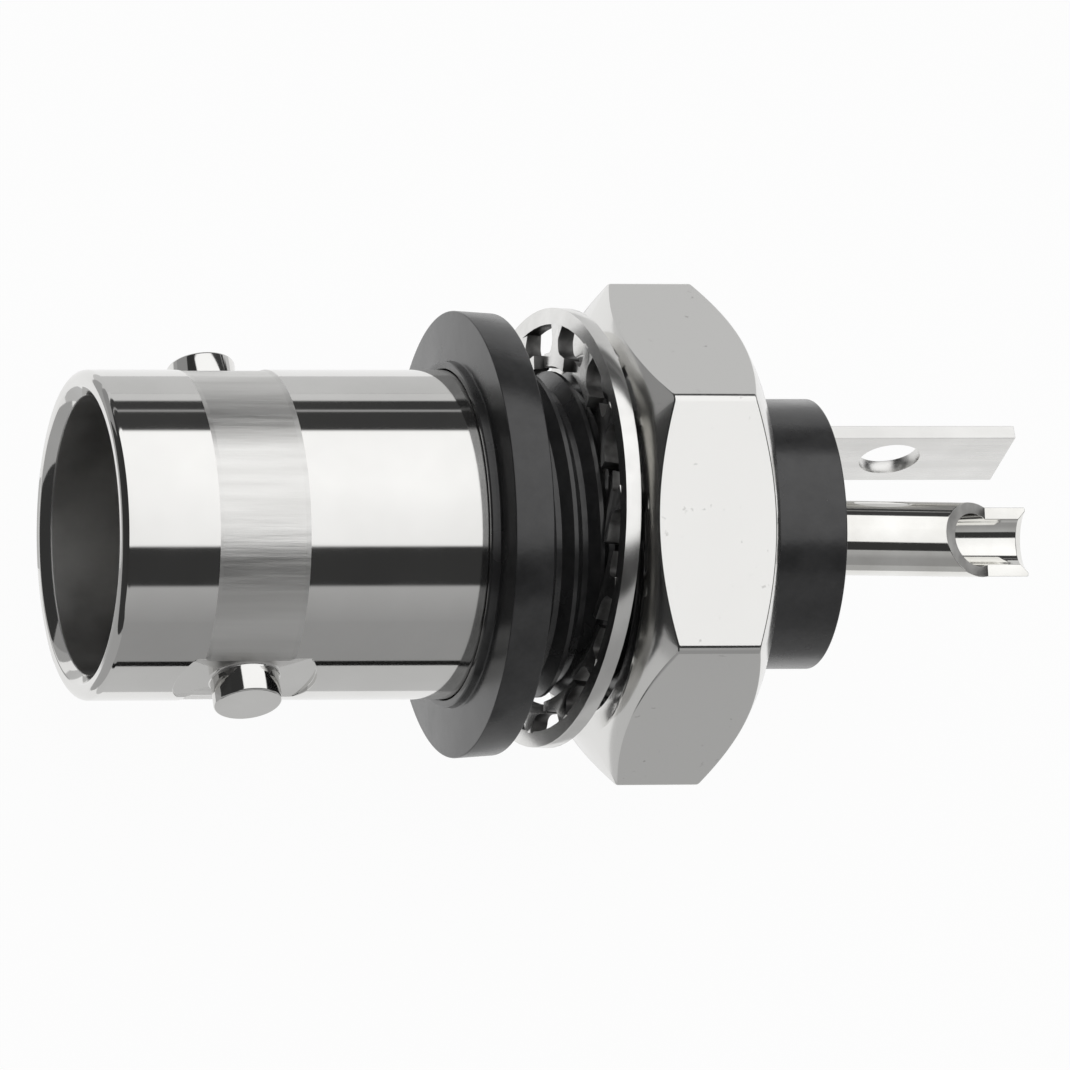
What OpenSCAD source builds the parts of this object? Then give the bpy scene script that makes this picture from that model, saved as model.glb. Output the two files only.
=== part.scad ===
// Panel-mount coaxial jack with a bayonet coupling, insulated from its panel.
// Millimetres. +X runs along the axis to the solder end, the two bayonet studs lie on Y,
// +Z is up. The origin is on the axis, in the plane where the flange meets the panel.

/* [Shell] */
// Distance from the panel plane to the front rim of the shell
shell_reach = 12.47; // [12:0.01:16]
// Outside diameter of the shell, over which the plug's ring slides
shell_d = 9.6; // [9.4:0.05:9.8]
// Bore of the shell, which takes the plug's sleeve
bore_d = 8.1; // [7.6:0.05:8.3]
// Depth of the bore, from the rim to the floor that the plug bottoms on
bore_depth = 8.4; // [7.8:0.1:9]
// Width of the flare at the mouth of the bore
mouth_flare = 0.26; // [0.05:0.01:0.3]
// Rounding of the rim's outer edge
rim_round = 0.22; // [0.05:0.01:0.3]
// Distance from the rim to the front of the brushed waist
waist_from_rim = 2.9; // [1:0.01:3.2]
// Length of the brushed waist
waist_len = 2.72; // [1:0.01:3.4]
// Depth of the brushed waist below the polished shell
waist_depth = 0.04; // [0.01:0.01:0.12]

/* [Bayonet studs] */
// Distance from the rim to the axis of the studs
stud_from_rim = 4.37; // [4:0.01:5.2]
// Diameter of each stud
stud_d = 2.0; // [1.6:0.02:2.1]
// Size across the ends of both studs
across_studs = 11.0; // [10.6:0.05:11.6]
// Diameter of the flat milled round each stud
spot_d = 4.2; // [3:0.05:4.6]
// Depth of that flat below the shell
spot_depth = 0.16; // [0.15:0.01:0.25]
// Fillet where a stud rises from its flat
stud_fillet = 0.1; // [0.02:0.01:0.14]

/* [Insulating housing] */
// Diameter of the flange that rests on the panel
flange_d = 13.04; // [12.4:0.02:16]
// Thickness of the flange
flange_t = 1.2; // [0.9:0.05:2]
// Moulding draft on the flange, taken off the radius at its rear edge
flange_draft = 0.08; // [0:0.01:0.15]
// Wall of the low boss that stands round the shell
boss_wall = 0.23; // [0.15:0.01:0.8]
// Height of that boss
boss_h = 0.29; // [0.1:0.01:0.6]
// Major diameter of the panel thread
thread_d = 9.525; // [9:0.025:9.8]
// Distance from the panel plane to the end of the thread
thread_len = 6.9; // [5:0.1:8.5]
// Diameter of the collar behind the thread
collar_d = 7.9; // [7.6:0.05:8.4]
// Length of that collar
collar_len = 2.75; // [2:0.05:4]

/* [Rear stem and earth tag] */
// Diameter of the shell's stem inside the housing
stem_d = 6.3; // [6:0.05:6.6]
// Depth of the recess in the collar's end
recess_depth = 1.35; // [1:0.05:1.6]
// Sheet thickness of the earth tag
tag_t = 0.4; // [0.25:0.01:0.5]
// Width of the tag's blade
tag_w = 2.7; // [1.8:0.1:3]
// Distance from the panel plane to the end of the blade
tag_reach = 16.06; // [14.5:0.02:20]
// Diameter of the wire hole in the blade
tag_hole_d = 1.8; // [1:0.1:2]
// Distance from the panel plane to the wire hole
tag_hole_x = 12.55; // [11.2:0.05:13]

/* [Centre contact] */
// Bore of the socket that takes the plug's centre pin
socket_d = 1.35; // [1.3:0.01:1.5]
// Outside diameter of the socket
socket_od = 2.1; // [1.9:0.05:2.2]
// Depth of the socket's bore
socket_depth = 5.3; // [4.5:0.1:6]
// Length of the slots that let the socket's fingers spring
slot_len = 4.0; // [2:0.1:4.2]
// Width of those slots
slot_w = 0.18; // [0.1:0.01:0.22]
// Diameter of the contact's tail
tail_d = 2.2; // [2.1:0.02:2.4]
// Distance from the panel plane to the end of the solder cup
cup_reach = 16.55; // [15.5:0.05:20]
// Bore of the solder cup
cup_d = 1.55; // [1.2:0.05:1.6]
// Depth of the solder cup
cup_depth = 4.1; // [3.5:0.1:4.5]
// Countersink at the mouth of the cup
cup_flare = 0.22; // [0.05:0.01:0.22]
// Length of the cup's open side, with its sloping shoulder
cup_open = 2.95; // [2.2:0.05:3.2]
// Length of that shoulder
cup_slope = 1.7; // [0.8:0.1:2]
// Height of the cup's cut edges over the axis, below it when negative
cup_cut = -0.38; // [-0.5:0.01:0.4]
// Turn of the open side about the axis, from -Y towards +Z
cup_turn = 73; // [0:1:180]

/* [Insulators] */
// Diameter of the front insulator
nose_d = 4.7; // [4.4:0.05:4.8]
// Reach of the front insulator ahead of the bore's floor
nose_reach = 5.1; // [4.6:0.1:5.5]
// Diameter of the rear insulator
plug_d = 3.8; // [3.4:0.05:3.9]
// Diameter of the collar that locks the contact between the two insulators
lock_d = 3.2; // [2.8:0.1:3.3]
// Thickness of that collar
lock_t = 0.6; // [0.4:0.05:1]

/* [Lock washer] */
// Outside diameter of the washer
washer_d = 12.84; // [12.6:0.02:13.6]
// Sheet thickness of the washer
washer_t = 0.46; // [0.3:0.01:0.5]
// Radial width of the closed rim
washer_rim = 0.48; // [0.35:0.01:0.6]
// Number of teeth
tooth_count = 14; // [12:1:16]
// Width of a tooth's neck
tooth_neck = 0.6; // [0.4:0.05:1.0]
// Radial depth of a tooth's broad foot
tooth_foot = 0.32; // [0.25:0.01:0.45]
// Twist of each tooth out of the washer's plane
tooth_twist = 6; // [2:1:12]
// Turn of the washer about its own axis
tooth_turn = -7.5; // [-12:0.5:12]
// Distance from the panel plane to the middle of the washer's front face
washer_x = 1.55; // [1.4:0.01:1.6]
// Lean of the loose washer, its upper side towards the nut
washer_lean = 6; // [0:0.5:6]
// Sideways shift of the loose washer along Y
washer_shift = 0.09; // [0:0.01:0.1]
// Upward shift of the loose washer
washer_lift = 0.045; // [0:0.005:0.05]

/* [Hex nut] */
// Distance from the panel plane to the front face of the nut
nut_x = 2.87; // [2.85:0.01:3.4]
// Thickness of the nut
nut_t = 4.13; // [3:0.01:4.5]
// Size across the flats
nut_af = 12.7; // [12.4:0.1:14.5]
// Diameter of the flat ring that the chamfers leave on each face
nut_face_d = 11.8; // [11.6:0.1:12.2]
// Angle of the chamfers on the six corners
nut_chamfer = 30; // [20:1:35]
// Turn of the nut about the axis, from +Y towards +Z
nut_turn = 24.2; // [0:0.1:60]

/* [Hidden] */
$fn = 64;
// Radial clearance of parts that are pressed or crimped together
fit = 0.02;
// Radial play of the nut over the thread's crests
nut_play = 0.05;
// Radial play of the washer's teeth over the thread's crests
tooth_play = 0.17;
// Radial room that the socket's fingers spring into
finger_room = 0.1;
// Small chamfer that breaks a turned edge
edge = 0.06;
// Overrun of every cut past the face it opens
past = 0.5;
// Length of the shell's big end inside the flange
seat_len = 0.79;
// Wall of the recess in the collar's end
recess_wall = 0.55;
// Wall of the stem's crimped end round the rear insulator
crimp_wall = 0.28;
// Height of the lip that is rolled over the earth tag
lip_h = 0.14;
// Length of that lip
lip_len = 0.25;
// Inside bend of the earth tag
tag_bend = 0.1;
// Relief on both sides of the bend
tag_relief = 0.15;
// Setback of the socket behind the insulator's nose
socket_back = 0.22;
// Plane of the step that both insulators meet at
step_x = 3;
// Chamfer at the end of the thread and at both ends of the nut's bore
thread_edge = 0.45;
// Half the width of the slit between the feet of two teeth
slit = 0.13;
// Steps of every rounded edge in a turned profile
arc_steps = 3;

rim_x = -shell_reach;
floor_x = rim_x + bore_depth;
waist_x = rim_x + waist_from_rim;
stud_x = rim_x + stud_from_rim;
stud_flat = shell_d / 2 - spot_depth;
boss_x = -flange_t - boss_h;
boss_r = shell_d / 2 + fit + boss_wall;
tube_end = boss_x + seat_len;
collar_end = thread_len + collar_len;
tag_x = collar_end - recess_depth;
recess_r = collar_d / 2 - recess_wall;
tag_ring_r = recess_r - 2 * fit;
crimp_r = plug_d / 2 + fit + crimp_wall;
tag_y = crimp_r + lip_h + tag_bend + fit;
lip_x = tag_x + tag_t;
stem_end = lip_x + lip_len;
plug_end = stem_end + 0.05;
nose_x = floor_x - nose_reach;
socket_x = nose_x + socket_back;
lock_x = step_x - lock_t;
washer_tip_r = thread_d / 2 + tooth_play;
washer_root_r = washer_d / 2 - washer_rim;

// A turned solid: each point is [radius, distance along X]
module turned(points) {
    rotate([0, 90, 0]) rotate_extrude() polygon(points);
}

// Points of an arc of radius r about [cr, cx], from angle a0 to a1
function arc(cr, cx, r, a0, a1) =
    [for (i = [0:arc_steps]) let (a = a0 + (a1 - a0) * i / arc_steps) [cr + r * cos(a), cx + r * sin(a)]];

// A cylinder along X, from x0 to x1
module bar(r, x0, x1) {
    translate([x0, 0, 0]) rotate([0, 90, 0]) cylinder(r = r, h = x1 - x0);
}

// Repeats its children at the studs, with Z outwards along -Y and then along +Y
module at_studs() {
    for (side = [90, -90]) translate([stud_x, 0, 0]) rotate([side, 0, 0]) children();
}

// One stud with its base fillet, rising along Z
module stud() {
    r = stud_d / 2;
    tip = across_studs / 2;
    sunk = stud_flat - 0.3;
    rotate_extrude() polygon(concat(
        [[0, sunk], [r + stud_fillet, sunk]],
        arc(r + stud_fillet, stud_flat + stud_fillet, stud_fillet, 270, 180),
        [[r, tip - edge], [r - edge, tip], [0, tip]]));
}

// The shell as it leaves the lathe
module shell_turning() {
    r = shell_d / 2;
    b = bore_d / 2;
    w = r - waist_depth;
    waist_end = waist_x + waist_len;
    turned(concat(
        [[b, floor_x], [b, rim_x + mouth_flare], [b + mouth_flare, rim_x]],
        arc(r - rim_round, rim_x + rim_round, rim_round, -90, 0),
        [[r, waist_x], [w, waist_x + waist_depth], [w, waist_end - waist_depth], [r, waist_end],
         [r, tube_end], [stem_d / 2, tube_end], [stem_d / 2, tag_x], [crimp_r, tag_x],
         [crimp_r, lip_x], [crimp_r + lip_h, lip_x], [crimp_r + lip_h, stem_end - lip_h],
         [crimp_r, stem_end], [plug_d / 2 + fit, stem_end], [plug_d / 2 + fit, step_x],
         [nose_d / 2 + fit, step_x], [nose_d / 2 + fit, floor_x]]));
}

module shell() {
    color("silver") union() {
        difference() {
            shell_turning();
            at_studs() translate([0, 0, stud_flat]) cylinder(d = spot_d, h = past);
        }
        at_studs() stud();
    }
}

module housing() {
    r = flange_d / 2;
    seat_r = shell_d / 2 + fit;
    stem_r = stem_d / 2 + fit;
    t = thread_d / 2;
    c = collar_d / 2;
    color("#1c1c1e") turned([
        [seat_r, boss_x], [boss_r - edge, boss_x], [boss_r, boss_x + edge],
        [boss_r, -flange_t], [r - edge, -flange_t], [r, -flange_t + edge],
        [r - flange_draft, -edge], [r - flange_draft - edge, 0], [t, 0],
        [t, thread_len - thread_edge], [t - thread_edge, thread_len], [c, thread_len],
        [c, collar_end - edge], [c - edge, collar_end], [recess_r, collar_end],
        [recess_r, tag_x], [stem_r, tag_x], [stem_r, tube_end], [seat_r, tube_end]]);
}

// Insulator that carries the socket and stands out of the bore's floor as a nose
module front_insulator() {
    r = nose_d / 2;
    hole = socket_od / 2 + fit;
    lock_r = lock_d / 2 + fit;
    spring_end = socket_x + slot_len;
    color("white") turned([
        [hole + finger_room, nose_x], [r - 2 * edge, nose_x], [r, nose_x + 2 * edge], [r, step_x],
        [lock_r, step_x], [lock_r, lock_x], [hole, lock_x], [hole, spring_end],
        [hole + finger_room, spring_end]]);
}

// Insulator that closes the stem behind the contact's collar
module rear_insulator() {
    r = plug_d / 2;
    hole = tail_d / 2 + fit;
    color("white") turned([
        [hole, step_x], [r, step_x], [r, plug_end - edge], [r - edge, plug_end], [hole, plug_end]]);
}

// What the cutter takes from the open side of the solder cup
module cup_cutter() {
    r = tail_d / 2;
    x = cup_reach - cup_open;
    w = tail_d + 2 * past;
    rise = (r - cup_cut) / cup_slope;
    rotate([90 - cup_turn, 0, 0]) translate([0, w / 2, 0]) rotate([90, 0, 0]) linear_extrude(w)
        polygon([[x - past / rise, r + past], [x + cup_slope, cup_cut],
                 [cup_reach + past, cup_cut], [cup_reach + past, r + past]]);
}

module centre_contact() {
    s = socket_d / 2;
    r = socket_od / 2;
    t = tail_d / 2;
    c = cup_d / 2;
    socket_end = socket_x + socket_depth;
    cup_end = cup_reach - cup_depth;
    color("#d8d4c8") difference() {
        turned([
            [0, socket_end], [s, socket_end], [s, socket_x + edge], [s + edge, socket_x],
            [r - edge, socket_x], [r, socket_x + edge], [r, lock_x], [lock_d / 2, lock_x],
            [lock_d / 2, step_x], [t, step_x], [t, cup_reach - edge / 2], [t - edge / 2, cup_reach],
            [c + cup_flare, cup_reach], [c, cup_reach - cup_flare], [c, cup_end], [0, cup_end]]);
        for (turn = [45, 135]) rotate([turn, 0, 0]) translate([socket_x - past, -slot_w / 2, -r - past])
            cube([slot_len + past, slot_w, 2 * (r + past)]);
        cup_cutter();
    }
}

// Side view of the tag's bend and blade
module tag_strip() {
    cx = tag_x + tag_t + tag_bend;
    cy = tag_y - tag_bend;
    foot = cy - 0.06;
    difference() {
        union() {
            translate([tag_x, foot]) square([tag_t, cy - foot]);
            translate([cx, tag_y]) square([tag_reach - cx, tag_t]);
            intersection() {
                translate([cx, cy]) circle(r = tag_bend + tag_t);
                translate([tag_x, cy]) square([cx - tag_x, tag_bend + tag_t]);
            }
        }
        translate([cx, cy]) circle(r = tag_bend);
    }
}

// Stamped ring, held by the rolled lip, with its blade bent back along the axis
module earth_tag() {
    relief_w = tag_w + 2 * tag_relief;
    color("gainsboro") difference() {
        union() {
            difference() {
                bar(tag_ring_r, tag_x, tag_x + tag_t);
                translate([tag_x - past, tag_y - tag_bend, -relief_w / 2])
                    cube([tag_t + 2 * past, tag_ring_r, relief_w]);
            }
            translate([0, 0, -tag_w / 2]) linear_extrude(tag_w) tag_strip();
        }
        bar(crimp_r + fit, tag_x - past, lip_x + past);
        translate([tag_hole_x, tag_y - past, 0]) rotate([-90, 0, 0])
            cylinder(d = tag_hole_d, h = tag_t + 2 * past);
    }
}

// Part of a flat ring, half_angle to either side of X
module sector(r0, r1, half_angle) {
    reach = 2 * r1;
    rise = reach * tan(half_angle);
    intersection() {
        difference() {
            circle(r = r1);
            circle(r = r0);
        }
        polygon([[0, 0], [reach, -rise], [reach, rise]]);
    }
}

// Outline of one tooth: a neck from the rim and a broad foot between two slits
module tooth_outline() {
    half = 180 / tooth_count;
    far = washer_root_r + edge;
    foot_r = washer_tip_r + tooth_foot;
    gap_r = (washer_root_r - foot_r) / 2;
    mid_r = foot_r + gap_r;
    turn = asin((tooth_neck / 2 + gap_r) / mid_r);
    difference() {
        sector(washer_tip_r, far, half);
        for (side = [-1, 1]) {
            rotate(side * turn) translate([mid_r, 0]) circle(r = gap_r);
            rotate(side * turn) translate([mid_r, -gap_r]) square([far, 2 * gap_r]);
            rotate(side * (turn + half / 2)) sector(foot_r, far + past, half / 2);
            rotate(side * half) translate([0, -slit]) square([far, 2 * slit]);
        }
    }
}

module lock_washer() {
    color("silver") translate([washer_x, washer_shift, washer_lift]) rotate([0, washer_lean, 0])
        rotate([0, 90, 0]) union() {
            difference() {
                cylinder(d = washer_d, h = washer_t);
                translate([0, 0, -past]) cylinder(r = washer_root_r, h = washer_t + 2 * past);
            }
            for (i = [0:tooth_count - 1]) rotate(tooth_turn + i * 360 / tooth_count)
                translate([0, 0, washer_t / 2]) rotate([tooth_twist, 0, 0])
                    linear_extrude(washer_t, center = true) tooth_outline();
        }
}

module hex_nut() {
    corner_r = nut_af / 2 / cos(30);
    face_r = nut_face_d / 2;
    far_r = corner_r + past;
    drop = (far_r - face_r) * tan(nut_chamfer);
    bore_r = thread_d / 2 + nut_play;
    mouth_r = bore_r + thread_edge + past;
    nut_end = nut_x + nut_t;
    color("silver") rotate([nut_turn, 0, 0]) difference() {
        intersection() {
            rotate([90, 0, 90]) translate([0, 0, nut_x]) cylinder(r = corner_r, h = nut_t, $fn = 6);
            turned([[0, nut_x], [face_r, nut_x], [far_r, nut_x + drop],
                    [far_r, nut_end - drop], [face_r, nut_end], [0, nut_end]]);
        }
        turned([[0, nut_x - past], [mouth_r, nut_x - past], [bore_r, nut_x + thread_edge],
                [bore_r, nut_end - thread_edge], [mouth_r, nut_end + past], [0, nut_end + past]]);
    }
}

shell();
housing();
front_insulator();
rear_insulator();
centre_contact();
earth_tag();
lock_washer();
hex_nut();
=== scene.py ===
import math

import bmesh
import bpy
from mathutils import Matrix, Vector


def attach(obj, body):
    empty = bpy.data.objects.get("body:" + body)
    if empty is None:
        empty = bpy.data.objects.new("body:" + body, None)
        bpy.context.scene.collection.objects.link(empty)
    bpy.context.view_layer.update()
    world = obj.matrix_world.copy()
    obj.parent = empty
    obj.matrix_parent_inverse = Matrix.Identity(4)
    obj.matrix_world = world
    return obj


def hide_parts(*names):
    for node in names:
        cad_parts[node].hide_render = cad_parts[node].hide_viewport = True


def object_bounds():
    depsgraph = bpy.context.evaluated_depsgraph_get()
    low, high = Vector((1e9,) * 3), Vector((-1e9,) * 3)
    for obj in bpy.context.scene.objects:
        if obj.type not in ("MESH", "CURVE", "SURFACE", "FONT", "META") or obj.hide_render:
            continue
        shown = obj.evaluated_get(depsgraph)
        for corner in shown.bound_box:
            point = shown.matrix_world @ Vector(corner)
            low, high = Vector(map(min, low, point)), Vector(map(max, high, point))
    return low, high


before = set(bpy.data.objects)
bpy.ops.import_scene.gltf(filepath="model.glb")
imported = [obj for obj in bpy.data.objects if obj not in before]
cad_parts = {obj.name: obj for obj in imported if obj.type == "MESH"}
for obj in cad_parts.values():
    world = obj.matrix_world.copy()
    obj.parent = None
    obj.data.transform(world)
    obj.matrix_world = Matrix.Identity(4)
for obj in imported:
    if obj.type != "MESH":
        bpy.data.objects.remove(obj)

MM = 0.001
TURN = 2 * math.pi
IMAGE_UP = Vector((0, math.sin(math.radians(63)), math.cos(math.radians(63))))
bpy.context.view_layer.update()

# Sizes in millimetres, as in the part: x runs along the axis, 0 is the panel plane
# Shell: mouth, bore and waist, then the studs with their spot faces
RIM, FLOOR_OF_BORE = -12.47, -4.07
SHELL_R, BORE_R, STEM_R, STEM_BORE_R = 4.8, 4.05, 3.15, 2.37
RIM_ROUND = 0.26
WAIST_START, WAIST_END, WAIST_R, WAIST_RAMP = -9.57, -6.85, 4.765, 0.14
STUD_X, STUD_FLAT, STUD_R, STUD_TIP, STUD_FOOT = -8.1, 4.64, 1.0, 5.5, 0.1
SPOT_FACE_R = 2.1
# Housing: boss, flange, screw thread and collar
BOSS_X, BOSS_R, SEAT_END, SEAT_R = -1.49, 5.05, -0.7, 4.82
FLANGE_X, FLANGE_R = -1.2, 6.52
THREAD_R, ROOT_R, PITCH = 4.7625, 4.34, 0.79375
THREAD_START, THREAD_END = -0.5, 6.9
COLLAR_END, COLLAR_R, TAG_X = 9.65, 3.95, 8.3
# Nut, and the angle of one of its corners from +Y towards +Z
NUT_START, NUT_END, NUT_FLATS, NUT_TURN = 2.87, 7.0, 12.7, 24.2
NUT_FACE_R, NUT_BORE_R, NUT_THREAD_R, NUT_FLARE = 5.9, 4.83, 4.46, 0.41
# Lock washer: ring, teeth and the way it leans on the thread
TEETH, TOOTH_TURN, TOOTH_SET_BACK = 14, -7.5, -12
SLIT_R, HALF_WASHER = 5.97, 0.23
WASHER_PLACE, WASHER_LEAN = (1.55, 0.09, 0.045), 96


# ---------- shaping tools ----------

def arc(cx, cr, radius, start, end, steps=6):
    """Profile points (x, radius) on an arc, angles in degrees from +X towards outwards."""
    angles = [math.radians(start + (end - start) * i / steps) for i in range(steps + 1)]
    return [(cx + radius * math.cos(a), cr + radius * math.sin(a)) for a in angles]


def turned(profile, steps=192):
    """A solid turned about the axis from a closed profile of (x, radius) points."""
    bm = bmesh.new()
    verts = [bm.verts.new((x * MM, 0, r * MM)) for x, r in profile]
    ends = list(zip(profile, verts))
    edges = [bm.edges.new((a, b)) for (p, a), (q, b) in zip(ends, ends[1:] + ends[:1])
             if p[1] > 0 or q[1] > 0]
    bmesh.ops.spin(bm, geom=verts + edges, cent=(0, 0, 0), axis=(1, 0, 0), angle=TURN,
                   steps=steps, use_merge=True)
    bmesh.ops.remove_doubles(bm, verts=bm.verts, dist=0.0005 * MM)
    bmesh.ops.recalc_face_normals(bm, faces=bm.faces)
    return bm


def break_edges(bm, edges, width, segments, clamp=True):
    bmesh.ops.bevel(bm, geom=edges, offset=width * MM, offset_type="OFFSET", segments=segments,
                    profile=0.5, affect="EDGES", clamp_overlap=clamp, material=-1)


def soften(bm, width, segments=2, over=30, clamp=True):
    """Breaks every edge that is sharper than the given angle."""
    break_edges(bm, [e for e in bm.edges if len(e.link_faces) == 2
                     and e.calc_face_angle(0) > math.radians(over)], width, segments, clamp)


def screw_ridge(foot_r, top_r, start, turns, foot_half, top_half, steps=64):
    """One closed ridge of a right-hand screw thread."""
    bm = bmesh.new()
    section = [(start - foot_half, foot_r), (start - top_half, top_r),
               (start + top_half, top_r), (start + foot_half, foot_r)]
    verts = [bm.verts.new((x * MM, 0, r * MM)) for x, r in section]
    edges = [bm.edges.new((verts[i], verts[(i + 1) % 4])) for i in range(4)]
    bmesh.ops.spin(bm, geom=verts + edges, cent=(0, 0, 0), axis=(1, 0, 0), angle=TURN * turns,
                   dvec=(PITCH * MM / steps, 0, 0), steps=round(steps * turns))
    rims = [e for e in bm.edges if len(e.link_faces) == 1]
    bmesh.ops.holes_fill(bm, edges=rims, sides=4)
    bmesh.ops.recalc_face_normals(bm, faces=bm.faces)
    return bm


def add_into(bm, other):
    """Puts another mesh into this one."""
    scratch = bpy.data.meshes.new("scratch")
    other.to_mesh(scratch)
    other.free()
    bm.from_mesh(scratch)
    bpy.data.meshes.remove(scratch)


def scratch_object(bm):
    mesh = bpy.data.meshes.new("scratch")
    bm.to_mesh(mesh)
    bm.free()
    obj = bpy.data.objects.new("scratch", mesh)
    bpy.context.scene.collection.objects.link(obj)
    return obj


def combine(bm, other, operation):
    """Cuts the other solid from this one, or joins it on."""
    base, tool = scratch_object(bm), scratch_object(other)
    boolean = base.modifiers.new("combine", "BOOLEAN")
    boolean.operation, boolean.solver, boolean.object = operation, "EXACT", tool
    bpy.context.view_layer.update()
    depsgraph = bpy.context.evaluated_depsgraph_get()
    done = bpy.data.meshes.new_from_object(base.evaluated_get(depsgraph))
    result = bmesh.new()
    result.from_mesh(done)
    for obj in (base, tool):
        bpy.data.objects.remove(obj)
    bpy.data.meshes.remove(done)
    return result


def from_node(name):
    """A merged copy of a node's mesh, with its flat faces made whole."""
    bm = bmesh.new()
    bm.from_mesh(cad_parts[name].data)
    bmesh.ops.remove_doubles(bm, verts=bm.verts, dist=0.0005 * MM)
    bmesh.ops.dissolve_limit(bm, angle_limit=math.radians(0.6), verts=bm.verts, edges=bm.edges)
    return bm


def true_turning(mesh):
    """Gives turned faces the direction of the round surface, and broad flat ones their own."""
    directions = []
    for face in mesh.polygons:
        centre = face.center.yz
        side = face.normal.yz.dot(centre.normalized())
        plain = face.area > 0.3 * MM ** 2 or max(abs(face.normal.x), abs(face.normal.y)) > 0.9999
        turned_face = abs(face.normal.x) < 0.02 and abs(side) > 0.998 and (
            centre.length > 4.7 * MM or centre.length < 4.3 * MM)
        for index in face.loop_indices:
            out = mesh.vertices[mesh.loops[index].vertex_index].co.yz.normalized()
            if turned_face:
                directions.append((0, *(out * math.copysign(1, side))))
            else:
                directions.append(tuple(face.normal) if plain else (0, 0, 0))
    mesh.normals_split_custom_set(directions)


def finish_piece(name, bm, body, node, materials, crease=30):
    """Turns a mesh into a piece that rides on a body and stands for a node."""
    mesh = bpy.data.meshes.new(name)
    bm.to_mesh(mesh)
    bm.free()
    for material in materials:
        mesh.materials.append(material)
    mesh.shade_smooth()
    mesh.set_sharp_from_angle(angle=math.radians(crease))
    obj = bpy.data.objects.new(name, mesh)
    bpy.context.scene.collection.objects.link(obj)
    if name == "shell_turned":
        true_turning(mesh)
    else:
        # large faces keep their own direction beside the narrow broken edges
        obj.modifiers.new("flat faces", "WEIGHTED_NORMAL").keep_sharp = True
    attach(obj, body)
    if node:
        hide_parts(node)
    return obj


# ---------- finishes ----------

class Finish:
    """A material with its shader, its nodes and short ways to join them."""

    def __init__(self, name, color, metallic, roughness):
        self.material = bpy.data.materials.new(name)
        self.material.use_nodes = True
        self.tree = self.material.node_tree
        self.shader = self.tree.nodes["Principled BSDF"]
        self.shader.inputs["Base Color"].default_value = (*color, 1)
        self.shader.inputs["Metallic"].default_value = metallic
        self.shader.inputs["Roughness"].default_value = roughness
        self.place = self.tree.nodes.new("ShaderNodeTexCoord").outputs["Object"]

    def join(self, output, node, name):
        self.tree.links.new(output, node.inputs[name])

    def grain(self, scale, detail=3, rough=0.55, stretch=(1, 1, 1)):
        """Noise over the surface, stretched along an axis where that scale is small."""
        mapping = self.tree.nodes.new("ShaderNodeMapping")
        mapping.inputs["Scale"].default_value = stretch
        noise = self.tree.nodes.new("ShaderNodeTexNoise")
        noise.inputs["Scale"].default_value = scale
        noise.inputs["Detail"].default_value = detail
        noise.inputs["Roughness"].default_value = rough
        self.join(self.place, mapping, "Vector")
        self.join(mapping.outputs["Vector"], noise, "Vector")
        return noise.outputs["Fac"]

    def remap(self, value, low, high, from_low=0.3, from_high=0.7):
        node = self.tree.nodes.new("ShaderNodeMapRange")
        numbers = {"From Min": from_low, "From Max": from_high, "To Min": low, "To Max": high}
        for name, number in numbers.items():
            node.inputs[name].default_value = number
        self.join(value, node, "Value")
        return node.outputs["Result"]

    def tint(self, value, dark, light):
        mix = self.tree.nodes.new("ShaderNodeMix")
        mix.data_type = "RGBA"
        mix.inputs["A"].default_value = (*dark, 1)
        mix.inputs["B"].default_value = (*light, 1)
        self.join(value, mix, "Factor")
        mix_color = [o for o in mix.outputs if o.type == "RGBA"][0]
        self.join(mix_color, self.shader, "Base Color")

    def roughen(self, value, low, high):
        self.join(self.remap(value, low, high), self.shader, "Roughness")

    def bump(self, *heights):
        """Bumps laid over each other, each a (value, height in mm) pair."""
        normal = None
        for value, height in heights:
            node = self.tree.nodes.new("ShaderNodeBump")
            node.inputs["Distance"].default_value = height * MM
            self.join(value, node, "Height")
            if normal:
                self.join(normal, node, "Normal")
            normal = node.outputs["Normal"]
        self.join(normal, self.shader, "Normal")


def polished_nickel():
    """Bright plate over turned brass: faint rings of the tool, small stains."""
    f = Finish("polished nickel", (0.76, 0.755, 0.74), 1, 0.06)
    rings = f.grain(900, 4, 0.6, (1, 0.02, 0.02))
    cloud = f.grain(260, 4)
    f.roughen(cloud, 0.05, 0.09)
    f.tint(f.remap(cloud, 0, 1), (0.72, 0.715, 0.70), (0.79, 0.785, 0.77))
    f.bump((rings, 0.0006))
    return f.material


def brushed_waist():
    """The waist's plate, drawn along the axis by a fine abrasive."""
    f = Finish("brushed waist", (0.74, 0.735, 0.72), 1, 0.28)
    streaks = f.grain(5200, 4, 0.7, (0.05, 1, 1))
    wide = f.grain(1500, 2, 0.5, (0.08, 1, 1))
    f.roughen(streaks, 0.28, 0.42)
    f.tint(f.remap(wide, 0, 1), (0.66, 0.655, 0.64), (0.80, 0.795, 0.78))
    f.bump((streaks, 0.007), (wide, 0.007))
    return f.material


def bore_plate_painted_shade():
    """Dull plate down in the bore, coloured darker than the outside as painted shade of the
    recess.
    """
    f = Finish("bore plate painted shade", (0.48, 0.475, 0.465), 1, 0.42)
    rings = f.grain(1500, 4, 0.6, (1, 0.03, 0.03))
    f.roughen(f.grain(700, 4), 0.34, 0.5)
    f.tint(f.remap(f.grain(500, 5), 0, 1), (0.42, 0.416, 0.41), (0.54, 0.535, 0.525))
    f.bump((rings, 0.003))
    return f.material


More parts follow.
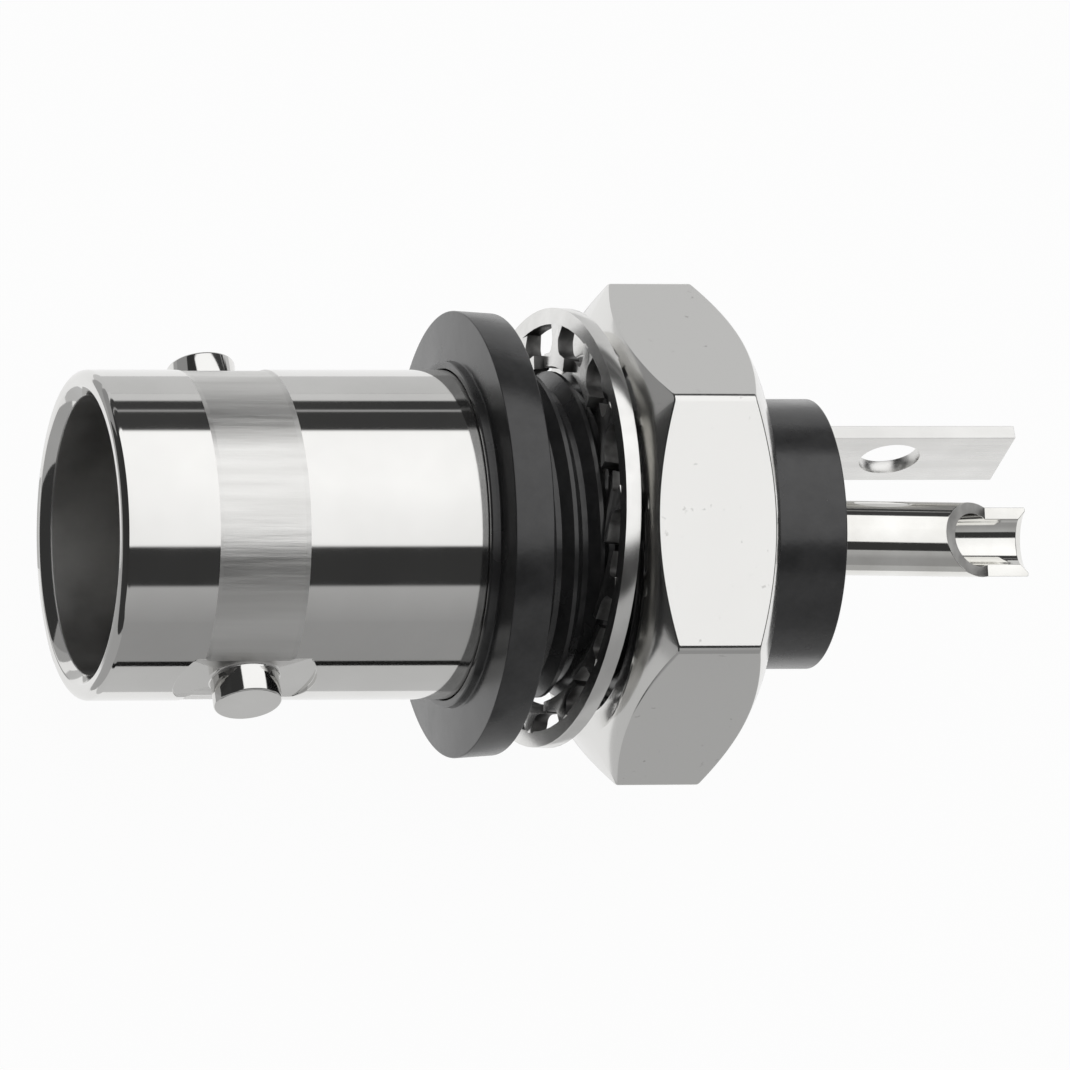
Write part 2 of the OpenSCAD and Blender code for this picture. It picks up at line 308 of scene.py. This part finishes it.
def nut_plate():
    """Bright plate on drawn hexagon bar: faint drawing lines and tiny pits."""
    f = Finish("nut plate", (0.74, 0.735, 0.72), 1, 0.1)
    drawn = f.grain(1400, 3, 0.6, (0.04, 1, 1))
    pits = f.grain(3400, 2)
    f.roughen(f.grain(350, 4), 0.1, 0.17)
    f.tint(f.remap(pits, 1, 0, 0.7, 0.78), (0.58, 0.575, 0.56), (0.75, 0.745, 0.73))
    f.bump((drawn, 0.0012), (f.remap(pits, 0, -1, 0.7, 0.78), 0.0012))
    return f.material


def washer_plate():
    """Bright plate on stamped spring metal, a little wavy from the press."""
    f = Finish("washer plate", (0.8, 0.795, 0.78), 1, 0.14)
    f.roughen(f.grain(600, 4), 0.15, 0.25)
    f.tint(f.remap(f.grain(900, 3), 0, 1), (0.74, 0.735, 0.72), (0.84, 0.835, 0.82))
    f.bump((f.grain(300, 2), 0.004), (f.grain(2600, 4), 0.001))
    return f.material


def sheared_edge_painted_shade():
    """The walls of the washer's slits, left rough and dull by the punch, and coloured dark as
    painted shade of the shadowed gaps between the teeth.
    """
    f = Finish("sheared edge painted shade", (0.16, 0.158, 0.155), 1, 0.5)
    f.roughen(f.grain(1800, 4), 0.42, 0.6)
    f.tint(f.remap(f.grain(1500, 4), 0, 1), (0.1, 0.099, 0.097), (0.22, 0.218, 0.214))
    f.bump((f.grain(3200, 4), 0.004))
    return f.material


def tag_plate():
    """Dull tin on rolled sheet, with the rolling lines along the blade."""
    f = Finish("tag tin", (0.86, 0.855, 0.84), 1, 0.28)
    rolled = f.grain(2600, 3, 0.6, (0.04, 1, 1))
    f.roughen(rolled, 0.22, 0.36)
    f.tint(f.remap(f.grain(400, 4), 0, 1), (0.69, 0.685, 0.67), (0.79, 0.785, 0.77))
    f.bump((rolled, 0.002), (f.grain(700, 3), 0.002))
    return f.material


def contact_plate():
    """Bright silver on the turned contact."""
    f = Finish("contact silver", (0.84, 0.835, 0.81), 1, 0.07)
    f.roughen(f.grain(500, 3), 0.05, 0.11)
    f.tint(f.remap(f.grain(700, 4), 0, 1), (0.74, 0.73, 0.7), (0.86, 0.855, 0.83))
    f.bump((f.grain(2400, 4, 0.6, (1, 0.02, 0.02)), 0.0006))
    return f.material


def cut_face():
    """The sloping cut across the solder cup, dull from the cutter."""
    f = Finish("cut face", (0.48, 0.475, 0.46), 1, 0.4)
    f.roughen(f.grain(1500, 4), 0.34, 0.5)
    f.tint(f.remap(f.grain(1800, 4), 0, 1), (0.38, 0.375, 0.365), (0.58, 0.575, 0.56))
    f.bump((f.grain(3000, 4), 0.004))
    return f.material


def black_plastic():
    """Black moulded plastic: satin, finely pebbled, with flow clouds."""
    f = Finish("black plastic", (0.03, 0.03, 0.031), 0, 0.24)
    f.shader.inputs["IOR"].default_value = 1.6
    f.roughen(f.grain(450, 4), 0.19, 0.3)
    f.tint(f.remap(f.grain(1400, 4), 0, 1), (0.024, 0.024, 0.025), (0.042, 0.042, 0.043))
    f.bump((f.grain(3800, 3), 0.004), (f.grain(500, 2), 0.004))
    return f.material


def white_insulator():
    """Turned white fluoropolymer, waxy, with tool rings."""
    f = Finish("white fluoropolymer", (0.86, 0.86, 0.84), 0, 0.38)
    f.shader.inputs["Subsurface Weight"].default_value = 0.15
    f.shader.inputs["Subsurface Radius"].default_value = (0.0006, 0.0006, 0.0005)
    f.roughen(f.grain(900, 3), 0.32, 0.46)
    f.tint(f.remap(f.grain(500, 4), 0, 1), (0.8, 0.8, 0.775), (0.88, 0.88, 0.865))
    f.bump((f.grain(2600, 3, 0.6, (1, 0.02, 0.02)), 0.002))
    return f.material


# ---------- pieces ----------

def set_across(bm, side):
    """Turns a shape made along the axis to stand on -Y or +Y at the studs' place."""
    turn = Matrix.Rotation(side * math.pi / 2, 4, "Z")
    bmesh.ops.transform(bm, verts=bm.verts, matrix=Matrix.Translation((STUD_X * MM, 0, 0)) @ turn)
    return bm


def stud(side):
    """A bayonet stud with its foot fillet."""
    profile = [(STUD_FLAT - 0.3, 0), (STUD_FLAT - 0.3, STUD_R + STUD_FOOT)]
    profile += arc(STUD_FLAT + STUD_FOOT, STUD_R + STUD_FOOT, STUD_FOOT, 180, 270, 5)
    profile += [(STUD_TIP - 0.07, STUD_R), (STUD_TIP - 0.02, STUD_R - 0.02),
                (STUD_TIP, STUD_R - 0.07), (STUD_TIP, 0)]
    return set_across(turned(profile, 96), side)


def spot_cutter(side):
    """What the spot-facing tool takes from the round surface about a stud."""
    return set_across(turned([(STUD_FLAT, 0), (STUD_FLAT, SPOT_FACE_R), (6, SPOT_FACE_R), (6, 0)],
                             128), side)


def shell():
    """The turned shell: bored, waisted, spot-faced round both studs, crimped behind."""
    profile = [(FLOOR_OF_BORE, BORE_R), (RIM + 0.29, BORE_R), (RIM + 0.03, BORE_R + 0.26),
               (RIM, BORE_R + 0.31)]
    profile += arc(RIM + RIM_ROUND, SHELL_R - RIM_ROUND, RIM_ROUND, 180, 90, 7)
    profile += [(WAIST_START, SHELL_R), (WAIST_START + WAIST_RAMP, WAIST_R),
                (WAIST_END - WAIST_RAMP, WAIST_R), (WAIST_END, SHELL_R), (SEAT_END, SHELL_R),
                (SEAT_END, STEM_R), (TAG_X, STEM_R), (TAG_X, 2.2), (8.7, 2.2), (8.7, 2.34)]
    profile += arc(8.81, 2.2, 0.14, 90, 0, 5)
    profile += [(8.95, 1.92), (3, 1.92), (3, STEM_BORE_R), (FLOOR_OF_BORE, STEM_BORE_R)]
    bm = turned(profile)
    for side in (-1, 1):
        bm = combine(bm, spot_cutter(side), "DIFFERENCE")
        bm = combine(bm, stud(side), "UNION")
    # the cuts leave edges shorter than the broken edge is wide
    bmesh.ops.remove_doubles(bm, verts=bm.verts, dist=0.01 * MM)
    soften(bm, 0.025, 2, clamp=False)
    for face in bm.faces:
        middle = face.calc_center_median() / MM
        x, r = middle.x, middle.yz.length
        if WAIST_START < x < WAIST_END and WAIST_R - 0.06 < r < WAIST_R + 0.02:
            face.material_index = 1
        # the bore's wall and floor take the darker bore finish, which is painted shade of the
        # recess
        elif r < BORE_R + 0.02 and x < FLOOR_OF_BORE + 0.05:
            face.material_index = 2
    return finish_piece("shell_turned", bm, "jack", "shell",
                        [polished_nickel(), brushed_waist(), bore_plate_painted_shade()])


def housing():
    """The black housing with its boss, flange, screw thread and collar."""
    bm = turned([
        (BOSS_X, SEAT_R), (BOSS_X, BOSS_R), (FLANGE_X, BOSS_R), (FLANGE_X, FLANGE_R),
        (0, FLANGE_R - 0.08), (0, ROOT_R), (THREAD_END - 0.02, ROOT_R), (THREAD_END, COLLAR_R),
        (COLLAR_END, COLLAR_R), (COLLAR_END, 3.4), (TAG_X, 3.4), (TAG_X, STEM_R + 0.02),
        (SEAT_END, STEM_R + 0.02), (SEAT_END, SEAT_R)])
    soften(bm, 0.05, 3)
    ridge = screw_ridge(ROOT_R - 0.04, THREAD_R, THREAD_START, 9.2, 0.34, 0.06)
    # the ridge tapers off over its last turn and ends short of the shoulder
    for vert in ridge.verts:
        r = vert.co.yz.length
        top = (THREAD_R - max(0, vert.co.x / MM - THREAD_END + 0.45)) * MM
        if r > top:
            vert.co.yz = vert.co.yz * (top / r)
        vert.co.x = min(vert.co.x, (THREAD_END - 0.04) * MM)
    add_into(bm, ridge)
    return finish_piece("housing_moulded", bm, "jack", "housing",
                        [black_plastic()])


def hexagon(across, corner, start, end):
    """A hexagonal bar along the axis with rounded corners."""
    bm = bmesh.new()
    bmesh.ops.create_circle(bm, cap_ends=True, segments=6, radius=across / math.sqrt(3) * MM)
    grown = bmesh.ops.extrude_face_region(bm, geom=bm.faces[:])["geom"]
    bmesh.ops.translate(bm, verts=[v for v in grown if isinstance(v, bmesh.types.BMVert)],
                        vec=(0, 0, (end - start) * MM))
    bmesh.ops.recalc_face_normals(bm, faces=bm.faces)
    break_edges(bm, [e for e in bm.edges if abs(e.verts[0].co.z - e.verts[1].co.z) > MM],
                corner * math.tan(math.radians(30)), 8)
    place = (Matrix.Translation((start * MM, 0, 0))
             @ Matrix.Rotation(math.radians(NUT_TURN), 4, "X")
             @ Matrix.Rotation(math.radians(90), 4, "Y"))
    bmesh.ops.transform(bm, verts=bm.verts, matrix=place)
    return bm


def hex_nut():
    """The nut: turned blank cut to a hexagon, chamfered on both faces, screw-cut inside."""
    far = 7.9
    drop = (far - NUT_FACE_R) * math.tan(math.radians(30))
    mouth_r, mouth = NUT_BORE_R + NUT_FLARE, NUT_FLARE + 0.02
    bm = turned([
        (NUT_START, mouth_r), (NUT_START, NUT_FACE_R), (NUT_START + drop, far),
        (NUT_END - drop, far), (NUT_END, NUT_FACE_R), (NUT_END, mouth_r),
        (NUT_END - mouth, NUT_BORE_R), (NUT_START + mouth, NUT_BORE_R)], 288)
    # a trace over size, so that its rounded corners reach as far out as the part's
    bm = combine(bm, hexagon(NUT_FLATS + 0.08, 0.3, NUT_START - 1, NUT_END + 1), "INTERSECT")
    bmesh.ops.remove_doubles(bm, verts=bm.verts, dist=0.004 * MM)
    soften(bm, 0.05, 3, 25, False)
    # half a pitch off the barrel's ridge, so that it runs in the groove
    add_into(bm, screw_ridge(NUT_BORE_R + 0.02, NUT_THREAD_R, THREAD_START + 5.5 * PITCH, 3,
                             0.3, 0.06))
    return finish_piece("nut_hex", bm, "nut", "hex_nut", [nut_plate()])


def lock_washer():
    """The loose washer, which leans and hangs a little to one side on the thread."""
    bm = from_node("lock_washer")
    soften(bm, 0.03, 2, 40)
    lean = (Matrix.Translation(Vector(WASHER_PLACE) * MM)
            @ Matrix.Rotation(math.radians(WASHER_LEAN), 4, "Y"))
    flat = lean.inverted()
    middle = Matrix.Translation((0, 0, HALF_WASHER * MM))
    # the slit walls take the dark sheared-edge finish, which is painted shade of the gaps between
    # the teeth
    for face in bm.faces:
        spot = flat @ face.calc_center_median()
        if abs((flat.to_3x3() @ face.normal).z) < 0.5 and spot.xy.length < SLIT_R * MM:
            face.material_index = 1
    for vert in bm.verts:
        # each tooth turns about its own radial line, and the rim stays as it is
        spot = flat @ vert.co
        tooth = round((math.degrees(math.atan2(spot.y, spot.x)) - TOOTH_TURN) * TEETH / 360)
        line = middle @ Matrix.Rotation(math.radians(tooth * 360 / TEETH + TOOTH_TURN), 4, "Z")
        share = min(max((SLIT_R - 0.03 - spot.xy.length / MM) / 0.25, 0), 1)
        set_back = Matrix.Rotation(math.radians(TOOTH_SET_BACK * share), 4, "X")
        vert.co = lean @ line @ set_back @ line.inverted() @ spot
    for vert in bm.verts:
        outer = min(max((vert.co.yz.length / MM - 4.95) / 0.95, 0), 1)
        vert.co += IMAGE_UP * (0.24 * outer - 0.14) * MM
    return finish_piece("washer_toothed", bm, "washer", "lock_washer",
                        [washer_plate(), sheared_edge_painted_shade()])


def earth_tag():
    """The stamped tag, from its node, with its edges broken."""
    bm = from_node("earth_tag")
    soften(bm, 0.03, 2, 40)
    return finish_piece("tag_stamped", bm, "jack", "earth_tag", [tag_plate()])


def centre_contact():
    """The turned contact, whose tail sits a little low in its insulator."""
    bm = from_node("centre_contact")
    soften(bm, 0.015, 2, 40)
    for face in bm.faces:
        sloping = 0.55 < face.normal.x < 0.8
        if sloping and 13 < face.calc_center_median().x / MM < 15.8:
            face.material_index = 1
    for vert in bm.verts:
        along = min(max((vert.co.x / MM - 7) / 3.5, 0), 1)
        vert.co -= IMAGE_UP * (0.18 * along * along * (3 - 2 * along)) * MM
    return finish_piece("contact_turned", bm, "jack", "centre_contact",
                        [contact_plate(), cut_face()])


def insulators():
    """The white nose round the contact's socket, and the sleeve behind its collar."""
    white = white_insulator()
    front = turned([
        (-9.17, 1.17), (-9.17, 2.35), (3, 2.35), (3, 1.62), (2.4, 1.62), (2.4, 1.07),
        (-4.95, 1.07), (-4.95, 1.17)], 128)
    soften(front, 0.04, 3)
    finish_piece("insulator_front", front, "jack", "front_insulator", [white])
    rear = turned([(3, 1.12), (3, 1.9), (9.0, 1.9), (9.0, 1.12)], 96)
    soften(rear, 0.05, 3)
    finish_piece("insulator_rear", rear, "jack", "rear_insulator", [white])


# ---------- studio ----------

def camera():
    """A long lens, a little towards the mouth, 27 degrees off the near stud."""
    tilt, round_axis, roll = math.radians(16.9), math.radians(63), math.radians(0.1)
    distance, half_frame, pixels_per_mm = 600, 535, 34.3
    along = Vector((1, 0, 0))
    near = Vector((0, -math.cos(round_axis), math.sin(round_axis)))
    back = near * math.cos(tilt) - along * math.sin(tilt)
    level = along * math.cos(tilt) + near * math.sin(tilt)
    right = level * math.cos(roll) - IMAGE_UP * math.sin(roll)
    up = IMAGE_UP * math.cos(roll) + level * math.sin(roll)
    aim = along * 1.35 - right * 0.0146 - up * 0.0175
    lens = bpy.data.cameras.new("camera")
    lens.angle = 2 * math.atan(half_frame / (pixels_per_mm * distance))
    lens.clip_start, lens.clip_end = 0.01, 20
    obj = bpy.data.objects.new("camera", lens)
    turn = Matrix((right, up, back)).transposed().to_4x4()
    obj.matrix_world = Matrix.Translation((aim + back * distance) * MM) @ turn
    bpy.context.scene.collection.objects.link(obj)
    bpy.context.scene.camera = obj


def grade(node, stops):
    """Sets a colour ramp's grey stops, each a (position, brightness) pair."""
    ramp = node.color_ramp
    while len(ramp.elements) < len(stops):
        ramp.elements.new(0.5)
    for element, (position, light) in zip(ramp.elements, stops):
        element.position = position
        element.color = (light, light, light, 1)


def math_node(nodes, operation, *numbers):
    """A math node, with numbers for its inputs from the second on."""
    node = nodes.new("ShaderNodeMath")
    node.operation = operation
    for socket, number in zip(node.inputs[1:], numbers):
        socket.default_value = number
    return node


def studio_walls():
    """Pale and dark flags round a broad soft light, as bands about the part's axis."""
    brightest = 1.2
    world = bpy.data.worlds.new("studio")
    bpy.context.scene.world = world
    world.use_nodes = True
    nodes, links = world.node_tree.nodes, world.node_tree.links
    place = nodes.new("ShaderNodeTexCoord")
    axes = nodes.new("ShaderNodeSeparateXYZ")
    flip = math_node(nodes, "MULTIPLY", -1)
    angle = math_node(nodes, "ARCTAN2")
    share = math_node(nodes, "DIVIDE", math.pi)
    bands = nodes.new("ShaderNodeValToRGB")
    links.new(place.outputs["Generated"], axes.inputs[0])
    links.new(axes.outputs["Y"], flip.inputs[0])
    links.new(axes.outputs["Z"], angle.inputs[0])
    links.new(flip.outputs[0], angle.inputs[1])
    links.new(angle.outputs[0], share.inputs[0])
    links.new(share.outputs[0], bands.inputs["Fac"])
    # degrees over the axis from -Y through the top to +Y, and brightness
    grade(bands, [(d / 180, light / brightest) for d, light in (
        (0, 0.34), (26.3, 0.45), (27.7, 0.04), (54.3, 0.04), (55.7, 1.08), (75, 1.12),
        (100, 1.2), (140.3, 1.2), (141.7, 0.05), (158.5, 0.05), (159.5, 0.4), (160.5, 0.4),
        (161.5, 0.05), (170.3, 0.05), (171.7, 0.69), (180, 0.69))])
    # the light and the pale walls end before both ends of the axis, where dark flags hang
    half = nodes.new("ShaderNodeMapRange")
    half.inputs["From Min"].default_value = -1
    ends = nodes.new("ShaderNodeValToRGB")
    grade(ends, [((x + 1) / 2, light) for x, light in (
        (-1, 0), (-0.41, 0), (-0.37, 1), (0.77, 1), (0.81, 0), (1, 0))])
    flags = nodes.new("ShaderNodeMix")
    flags.data_type = "RGBA"
    flags.inputs["A"].default_value = (0.03, 0.03, 0.03, 1)
    links.new(axes.outputs["X"], half.inputs["Value"])
    links.new(half.outputs["Result"], ends.inputs["Fac"])
    links.new(ends.outputs["Color"], flags.inputs["Factor"])
    links.new(bands.outputs["Color"], flags.inputs["B"])
    studio = nodes["Background"]
    studio.inputs["Strength"].default_value = brightest
    links.new([o for o in flags.outputs if o.type == "RGBA"][0], studio.inputs["Color"])
    # the camera itself sees white
    paper = nodes.new("ShaderNodeBackground")
    paper.inputs["Color"].default_value = (1, 1, 1, 1)
    ray = nodes.new("ShaderNodeLightPath")
    mix = nodes.new("ShaderNodeMixShader")
    links.new(ray.outputs["Is Camera Ray"], mix.inputs[0])
    links.new(studio.outputs[0], mix.inputs[1])
    links.new(paper.outputs[0], mix.inputs[2])
    links.new(mix.outputs[0], nodes["World Output"].inputs["Surface"])


def stage_mesh(name, bm, material_name):
    """Puts a mesh on the stage with a new material, and gives back both."""
    mesh = bpy.data.meshes.new(name)
    bm.to_mesh(mesh)
    bm.free()
    material = bpy.data.materials.new(material_name)
    material.use_nodes = True
    material.node_tree.nodes.remove(material.node_tree.nodes["Principled BSDF"])
    mesh.materials.append(material)
    obj = bpy.data.objects.new(name, mesh)
    bpy.context.scene.collection.objects.link(obj)
    return obj, material.node_tree


def pale_floor(level):
    """White paper under the nut. It and its mirror images show nearly white, with a trace
    of the shadow."""
    bm = bmesh.new()
    bmesh.ops.create_grid(bm, x_segments=1, y_segments=1, size=3)
    bmesh.ops.translate(bm, verts=bm.verts, vec=(0, 0, level))
    _, tree = stage_mesh("floor", bm, "white paper")
    nodes, links = tree.nodes, tree.links
    paper = nodes.new("ShaderNodeBsdfDiffuse")
    paper.inputs["Color"].default_value = (0.78, 0.78, 0.78, 1)
    glow = nodes.new("ShaderNodeEmission")
    ray = nodes.new("ShaderNodeLightPath")
    mirrored = math_node(nodes, "MULTIPLY", 0.9)
    share = math_node(nodes, "MULTIPLY_ADD", 0.96)
    mix = nodes.new("ShaderNodeMixShader")
    links.new(ray.outputs["Is Glossy Ray"], mirrored.inputs[0])
    links.new(ray.outputs["Is Camera Ray"], share.inputs[0])
    links.new(mirrored.outputs[0], share.inputs[2])
    links.new(share.outputs[0], mix.inputs[0])
    links.new(paper.outputs[0], mix.inputs[1])
    links.new(glow.outputs[0], mix.inputs[2])
    links.new(mix.outputs[0], nodes["Material Output"].inputs["Surface"])


def board(name, low, high, tone):
    """A studio card between two corners in mm, which shows only in bright surfaces."""
    low, high = Vector(low), Vector(high)
    bm = bmesh.new()
    bmesh.ops.create_cube(bm, size=1)
    bmesh.ops.scale(bm, verts=bm.verts, vec=(high - low) * MM)
    bmesh.ops.translate(bm, verts=bm.verts, vec=(high + low) / 2 * MM)
    obj, tree = stage_mesh(name, bm, name + " paint")
    paint = tree.nodes.new("ShaderNodeEmission")
    paint.inputs["Color"].default_value = (tone, tone, tone, 1)
    tree.links.new(paint.outputs[0], tree.nodes["Material Output"].inputs["Surface"])
    obj.visible_camera = obj.visible_diffuse = obj.visible_shadow = False


# Cards that lie on the floor: x and y of two corners in mm, the height of their underside
# over the floor, and brightness
CARDS = (
    ("grey_card", (-3000, -3000, 3000, -16.1), 0.01, 0.33),
    ("dark_gap", (-14.9, -16.1, 2.6, -13.95), 0.01, 0.01),
    ("pale_card", (-60, -13.95, 2.6, -6), 0.01, 0.58),
    ("nut_card", (2.6, -16.1, 60, -6), 0.01, 0.46),
    ("mouth_card", (-32, -60, -19, 60), 0.03, 0.4),
    ("side_card", (-19, -60, -14.9, 2.6), 0.03, 0.4),
    ("lip_card", (-16, 2.6, -12, 5.6), 0.03, 0.55),
    # shade_card is painted shadow: a dark card where the part's own shadow falls on the floor,
    # seen only in reflections
    ("shade_card", (-12, -0.6, 9, 6), 0.03, 0.1),
    ("far_card", (-3000, 22, 3000, 3000), 0.01, 0.64),
)


bpy.context.scene.view_settings.view_transform = "Standard"
camera()
studio_walls()
shell()
housing()
insulators()
centre_contact()
earth_tag()
lock_washer()
hex_nut()
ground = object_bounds()[0][2]
pale_floor(ground)
low = ground / MM
# two flags stand before the mouth
board("dark_flag", (-33, -150, low), (-32, 18, 12), 0.04)
board("pale_flag", (-33, 18, low), (-32, 150, 12), 0.3)
for card, (x0, y0, x1, y1), lift, tone in CARDS:
    board(card, (x0, y0, low + lift), (x1, y1, low + lift + 0.01), tone)
